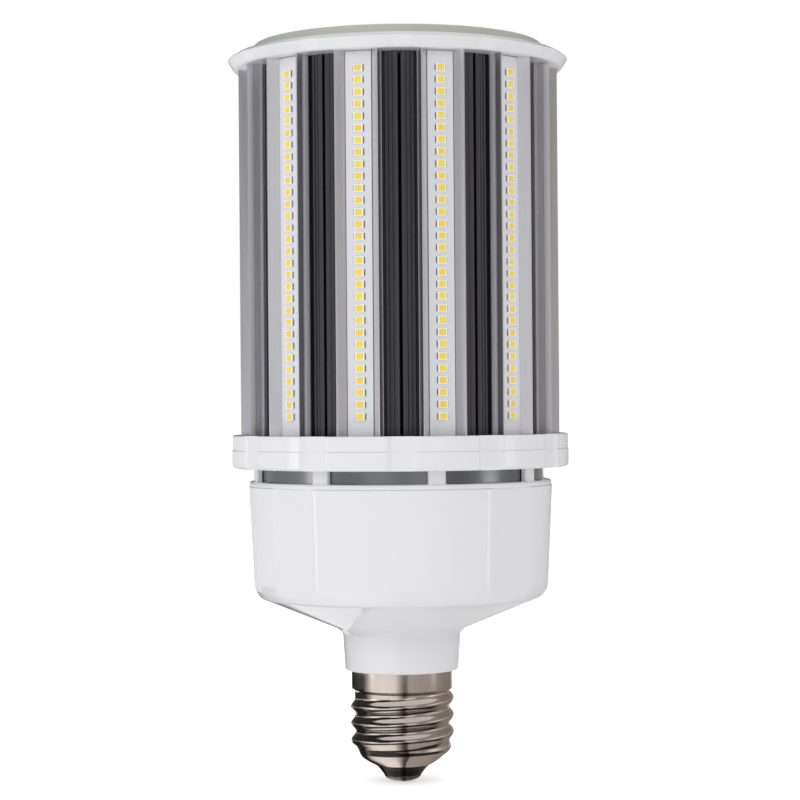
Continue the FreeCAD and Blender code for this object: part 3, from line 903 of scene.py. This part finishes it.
class BulbTopRing(bpy.types.Operator):
    """Make the white end ring"""
    bl_idname = "bulb.top_ring"
    bl_label = "Top Ring"

    def execute(self, context):
        radius, edge_radius, inside = 64.0, 60.4, 56.7
        wire_hole, plate_top = 4, BOARD_TOP - 1.6
        ring = eased([
            (wire_hole, MODULE_TOP, 0), (61.4, MODULE_TOP, 1.6), (radius, MODULE_TOP + 3.6, 3.0),
            (63.4, RING_TOP - 1.9, 2.4), (edge_radius, RING_TOP - 0.2, 2.4), (inside, RING_TOP, 0.4),
            (inside, plate_top, 0), (wire_hole, plate_top, 0),
        ], steps=7)
        settle(banded_ring("end_ring", ring, radius, TOP_BANDS), "white_plastic", "top_ring")
        return {"FINISHED"}


class BulbLens(bpy.types.Operator):
    """Make the frosted cover"""
    bl_idname = "bulb.lens"
    bl_label = "Frosted Cover"

    def execute(self, context):
        sizes = context.scene.bulb_sizes
        inside, plate_low = 51.6, LENS_TOP - 2
        outline = eased([
            (inside, BOARD_TOP, 0.2), (56.4, BOARD_TOP, 0.2), (56.4, RING_TOP, 0.6),
            (53.9, LENS_TOP - 0.5, 1.6), (46.0, LENS_TOP, 6.0), (0, LENS_TOP, 0), (0, plate_low, 0),
            (inside, plate_low, 0.8),
        ], steps=6)
        obj = turned("frosted_lens", outline, even_angles(sizes.round_steps), [finish_of(frosted_cover)])
        settle(weight_normals(obj), "frosted_cover", "top_lens")
        return {"FINISHED"}


class BulbInside(bpy.types.Operator):
    """Give the hidden pieces their finishes"""
    bl_idname = "bulb.inside"
    bl_label = "Inside Pieces"

    def execute(self, context):
        cover("core_tube", finish_of(core_nylon_shade))
        cover("top_board", finish_of(solder_mask))
        cover("top_leds", finish_of(phosphor))
        hidden = {
            "driver_board": plain("glass_epoxy_board", colour("#2E6B3A"), 0.4),
            "capacitor": plain("capacitor_sleeve", colour("#1B1F38"), 0.3),
            "transformer_winding": plain("polyester_tape", colour("#D9B83A"), 0.35),
            "transformer_core": plain("ferrite", colour("#2B2B2D"), 0.6),
            "input_wires": plain("white_wire_sleeve", colour("#DEDEDC"), 0.45),
            "output_wires": plain("red_wire_sleeve", colour("#B02A22"), 0.45),
        }
        for node, material in hidden.items():
            cover(node, material)
        return {"FINISHED"}


# Stage: angles of cards are in degrees from the front of the bulb, positive to the right

class BulbStage(bpy.types.Operator):
    """Set up the camera, floor, world and lamps"""
    bl_idname = "bulb.stage"
    bl_label = "Stage"

    def execute(self, context):
        scene = context.scene
        scene.view_settings.view_transform = "Standard"
        self.camera(scene)
        self.floor()
        self.world(scene)
        self.lamps()
        return {"FINISHED"}

    def camera(self, scene):
        """Stand where the photo was taken: distance and height in metres, with a slight turn and roll."""
        distance, height = 0.869, 0.14345
        around, roll = math.radians(-0.6), math.radians(0.44)
        data = bpy.data.cameras.new("camera")
        data.lens = 103.5
        data.sensor_width = 36
        data.clip_start = 0.01
        obj = bpy.data.objects.new("camera", data)
        scene.collection.objects.link(obj)
        back = Vector((math.sin(around), -math.cos(around), 0))
        right = Vector((math.cos(around), math.sin(around), 0))
        up = Vector((0, 0, 1))
        tilted_right = right * math.cos(roll) - up * math.sin(roll)
        tilted_up = right * math.sin(roll) + up * math.cos(roll)
        rotation = Matrix((tilted_right, tilted_up, back)).transposed().to_4x4()
        obj.matrix_world = Matrix.Translation(back * distance + up * height) @ rotation
        scene.camera = obj

    def floor(self):
        """A white floor that keeps the shadow; to gloss it shows painted cards, a painted reflection that the
        screw shell mirrors.
        """
        material = bpy.data.materials.new("studio_floor")
        material.use_nodes = True
        material.node_tree.nodes.clear()
        diffuse_glow_share = 0.25
        path = add_node(material, "ShaderNodeLightPath")
        paint = add_node(material, "ShaderNodeBsdfDiffuse", Color=colour("#FCFCFC"))
        glow = add_node(material, "ShaderNodeEmission", Strength=0.5)
        both = add_node(material, "ShaderNodeAddShader", {0: paint.outputs[0], 1: glow.outputs[0]})
        # Diffuse rays get a quarter of the glow too: painted light, beyond what the paint bounces, that
        # lightens the housing's underside.
        diffuse_glow = maths(material, "MULTIPLY", path.outputs["Is Diffuse Ray"], diffuse_glow_share)
        lit = maths(material, "MAXIMUM", self.seen_rays(material, path), diffuse_glow)
        plain_view = add_node(material, "ShaderNodeMixShader", {
            0: lit, 1: paint.outputs[0], 2: both.outputs[0],
        })
        mirrored = self.mirrored_floor(material)
        mix = add_node(material, "ShaderNodeMixShader", {
            0: path.outputs["Is Glossy Ray"], 1: plain_view.outputs[0], 2: mirrored.outputs[0],
        })
        add_node(material, "ShaderNodeOutputMaterial", {0: mix.outputs[0]})
        half, level = 60000, -0.3
        corners = [(-half, -half, level), (half, -half, level), (half, half, level), (-half, half, level)]
        plane = new_object("studio_floor", corners, [(0, 1, 2, 3)], [material])

    def mirrored_floor(self, material):
        """The floor as metal mirrors it, a painted reflection: cards round the bulb, and paler ones beyond
        half a metre.
        """
        where = add_node(material, "ShaderNodeTexCoord").outputs["Object"]
        far = add_node(material, "ShaderNodeVectorMath", {0: where}, operation="LENGTH").outputs["Value"]
        ring = self.cards(material, where, (
            (-180, "#4A4A4C"), (-160, "#2A2A2C"), (-96, "#222224"), (-68, "#F4F0EC"), (-45, "#FFFFFF"),
            (-16, "#F4F2F0"), (-4, "#9A9896"), (3, "#4E4C4A"), (10.5, "#4A4846"), (12.5, "#ABA4A2"),
            (60, "#A59E9B"), (110, "#8E8683"), (142, "#857D7A"), (152, "#D0CECC"), (180, "#D8D6D4"),
        ))
        # A bright patch close behind on the left: painted reflection that lightens the housing's cone.
        back = self.cards(material, where, (
            (-180, "#FFFFFF"), (-146, "#FFFFFF"), (-138, "#000000"), (180, "#000000"),
        ))
        near_back = maths(material, "MULTIPLY", back, ramped(material, far, 0.2, 0.16))
        beyond = self.cards(material, where, (
            (-180, "#D8D8DA"), (-40, "#E8E8EC"), (0, "#E0E0E2"), (40, "#C0BCB8"), (180, "#B0ACA8"),
        ))
        share = ramped(material, far, 0.43, 0.5)
        shade = blended(material, share, blended(material, near_back, ring, back), beyond)
        # Narrow bands that glow three times as bright: painted highlights on the housing's facet edges and
        # the collar's bands.
        painted_highlights = self.cards(material, where, (
            (-180, "#000000"), (-82, "#000000"), (-78, "#FFFFFF"), (-70, "#FFFFFF"), (-66, "#000000"),
            (66, "#000000"), (70, "#FFFFFF"), (80, "#FFFFFF"), (84, "#000000"), (180, "#000000"),
        ))
        highlight_strength = 3
        far_painted_highlights = maths(material, "MULTIPLY", painted_highlights, share)
        own_shade = self.own_shade(material, where, far)
        strength = maths(material, "MULTIPLY_ADD", far_painted_highlights, highlight_strength, own_shade)
        return add_node(material, "ShaderNodeEmission", {"Color": shade, "Strength": strength})

    def own_shade(self, material, where, far):
        """A dark half ring on the floor before the shell, which draws the thin dark lines of the thread."""
        ramp_end = 0.1
        ramp = add_node(material, "ShaderNodeValToRGB", {0: ramped(material, far, 0.0, ramp_end)})
        elements = ramp.color_ramp.elements
        elements[0].color = (1, 1, 1, 1)
        elements[1].color = (1, 1, 1, 1)
        for place, level in ((0.26, 1.0), (0.31, 0.05), (0.55, 0.05), (0.8, 1.0)):
            elements.new(place).color = (level, level, level, 1)
        depth = add_node(material, "ShaderNodeSeparateXYZ", {0: where}).outputs["Y"]
        return maths(material, "MAXIMUM", ramp.outputs["Color"], ramped(material, depth, -0.01, 0.01))

    def seen_rays(self, holder, path):
        """One where a camera or transmission ray looks, else nought."""
        return maths(holder, "MAXIMUM", path.outputs["Is Camera Ray"], path.outputs["Is Transmission Ray"])

    def cards(self, holder, where, stops):
        """Bright and dark cards round the bulb: the angle and colour of each stop."""
        parts = add_node(holder, "ShaderNodeSeparateXYZ", {0: where})
        front = maths(holder, "MULTIPLY", parts.outputs["Y"], -1)
        angle = maths(holder, "ARCTAN2", parts.outputs["X"], front)
        ramp = add_node(holder, "ShaderNodeValToRGB", {0: ramped(holder, angle, -math.pi, math.pi)})
        elements = ramp.color_ramp.elements
        elements.remove(elements[1])
        elements[0].position = 0
        elements[0].color = colour(stops[0][1])
        for degrees, text in stops[1:]:
            elements.new((degrees + 180) / 360).color = colour(text)
        return ramp.outputs["Color"]

    def world(self, scene):
        """White for the camera, a grey fill for diffuse light and a room of cards for gloss."""
        world = bpy.data.worlds.new("studio_world")
        world.use_nodes = True
        scene.world = world
        world.node_tree.nodes.clear()
        path = add_node(world, "ShaderNodeLightPath")
        white = add_node(world, "ShaderNodeBackground", Color=(1, 1, 1, 1), Strength=1.0)
        fill = add_node(world, "ShaderNodeBackground", Color=(1, 1, 1, 1), Strength=0.7)
        room = add_node(world, "ShaderNodeBackground", {"Color": self.room(world)}, Strength=1.0)
        mirrored = add_node(world, "ShaderNodeMixShader", {
            0: path.outputs["Is Glossy Ray"], 1: fill.outputs[0], 2: room.outputs[0],
        })
        mix = add_node(world, "ShaderNodeMixShader", {
            0: self.seen_rays(world, path), 1: mirrored.outputs[0], 2: white.outputs[0],
        })
        add_node(world, "ShaderNodeOutputWorld", {0: mix.outputs[0]})

    def room(self, world):
        """White cards in front and at the sides, darker ones between; above, dark left and grey right."""
        where = add_node(world, "ShaderNodeTexCoord").outputs["Generated"]
        level = self.cards(world, where, (
            (-180, "#3C3C3E"), (-118, "#3C3C3E"), (-98, "#D0D0D4"), (-82, "#FFFFFF"), (-66, "#FFFFFF"),
            (-54, "#5C5C64"), (-34, "#5C5C64"), (-26, "#FFFFFF"), (-10, "#FFFFFF"), (-4, "#B0B0B4"),
            (4, "#B0B0B4"), (10, "#FFFFFF"), (26, "#FFFFFF"), (34, "#6C635C"), (50, "#6C635C"),
            (62, "#DCD8D6"), (86, "#E4E2E2"), (105, "#B8B0AA"), (135, "#908882"), (180, "#908882"),
        ))
        above = self.cards(world, where, (
            (-180, "#2C2C2E"), (-116, "#2C2C2E"), (-80, "#1C1C1E"), (-2, "#242426"), (3, "#6A6462"),
            (6, "#A49C9A"), (60, "#A29A97"), (110, "#8A8280"), (180, "#6E6866"),
        ))
        parts = add_node(world, "ShaderNodeSeparateXYZ", {0: where})
        height = parts.outputs["Z"]
        share = ramped(world, height, 0.17, 0.36, interpolation_type="SMOOTHSTEP")
        ceiling = ramped(world, height, 0.8, 0.95, interpolation_type="SMOOTHSTEP")
        across = ramped(world, parts.outputs["X"], -0.02, 0.03)
        overhead = blended(world, across, colour("#FFFFFF"), colour("#B0A8A6"))
        return blended(world, ceiling, blended(world, share, level, above), overhead)

    def lamps(self):
        """Softboxes that gloss doesn't mirror: place, width, height and watts of each."""
        target = Vector((0, 0, 0.15))
        for name, place, wide, tall, watts in (
            ("left_softbox", (-1.1, -0.85, 0.5), 0.7, 1.1, 3.4),
            ("right_softbox", (1.15, -0.8, 0.45), 0.8, 1.1, 1.2),
            ("front_fill", (-0.1, -2.4, 1.3), 1.2, 0.8, 5),
            ("top_softbox", (-0.1, 0.2, 1.3), 1.0, 1.0, 2.2),
        ):
            data = bpy.data.lights.new(name, "AREA")
            data.shape = "RECTANGLE"
            data.size, data.size_y = wide, tall
            data.energy = watts
            obj = bpy.data.objects.new(name, data)
            bpy.context.scene.collection.objects.link(obj)
            obj.location = place
            obj.visible_camera = False
            obj.visible_glossy = False
            obj.rotation_euler = (target - Vector(place)).to_track_quat("-Z", "Y").to_euler()


class BulbPanel(bpy.types.Panel):
    """Sizes, colours and the pieces of the bulb"""
    bl_idname = "VIEW3D_PT_corn_led_bulb"
    bl_label = "Corn LED Bulb"
    bl_space_type = "VIEW_3D"
    bl_region_type = "UI"
    bl_category = "Corn LED Bulb"

    def draw(self, context):
        for group in (context.scene.bulb_sizes, context.scene.bulb_colours):
            box = self.layout.box()
            for key in group.__annotations__:
                box.prop(group, key)
        for operator in PIECES:
            self.layout.operator(operator.bl_idname)


PIECES = (
    BulbStage, BulbScrewBase, BulbHousing, BulbVentRing, BulbVentBaffle, BulbCollarRing, BulbHeatSinks,
    BulbBoards, BulbChips, BulbTopRing, BulbLens, BulbInside,
)
CLASSES = (BulbSizes, BulbColours) + PIECES + (BulbPanel,)


def register():
    for cls in CLASSES:
        bpy.utils.register_class(cls)
    bpy.types.Scene.bulb_sizes = PointerProperty(type=BulbSizes)
    bpy.types.Scene.bulb_colours = PointerProperty(type=BulbColours)


def unregister():
    del bpy.types.Scene.bulb_colours
    del bpy.types.Scene.bulb_sizes
    for cls in reversed(CLASSES):
        bpy.utils.unregister_class(cls)


def main():
    """Make every piece."""
    register()
    for operator in PIECES:
        group, name = operator.bl_idname.split(".")
        getattr(getattr(bpy.ops, group), name)()


if __name__ == "__main__":
    main()
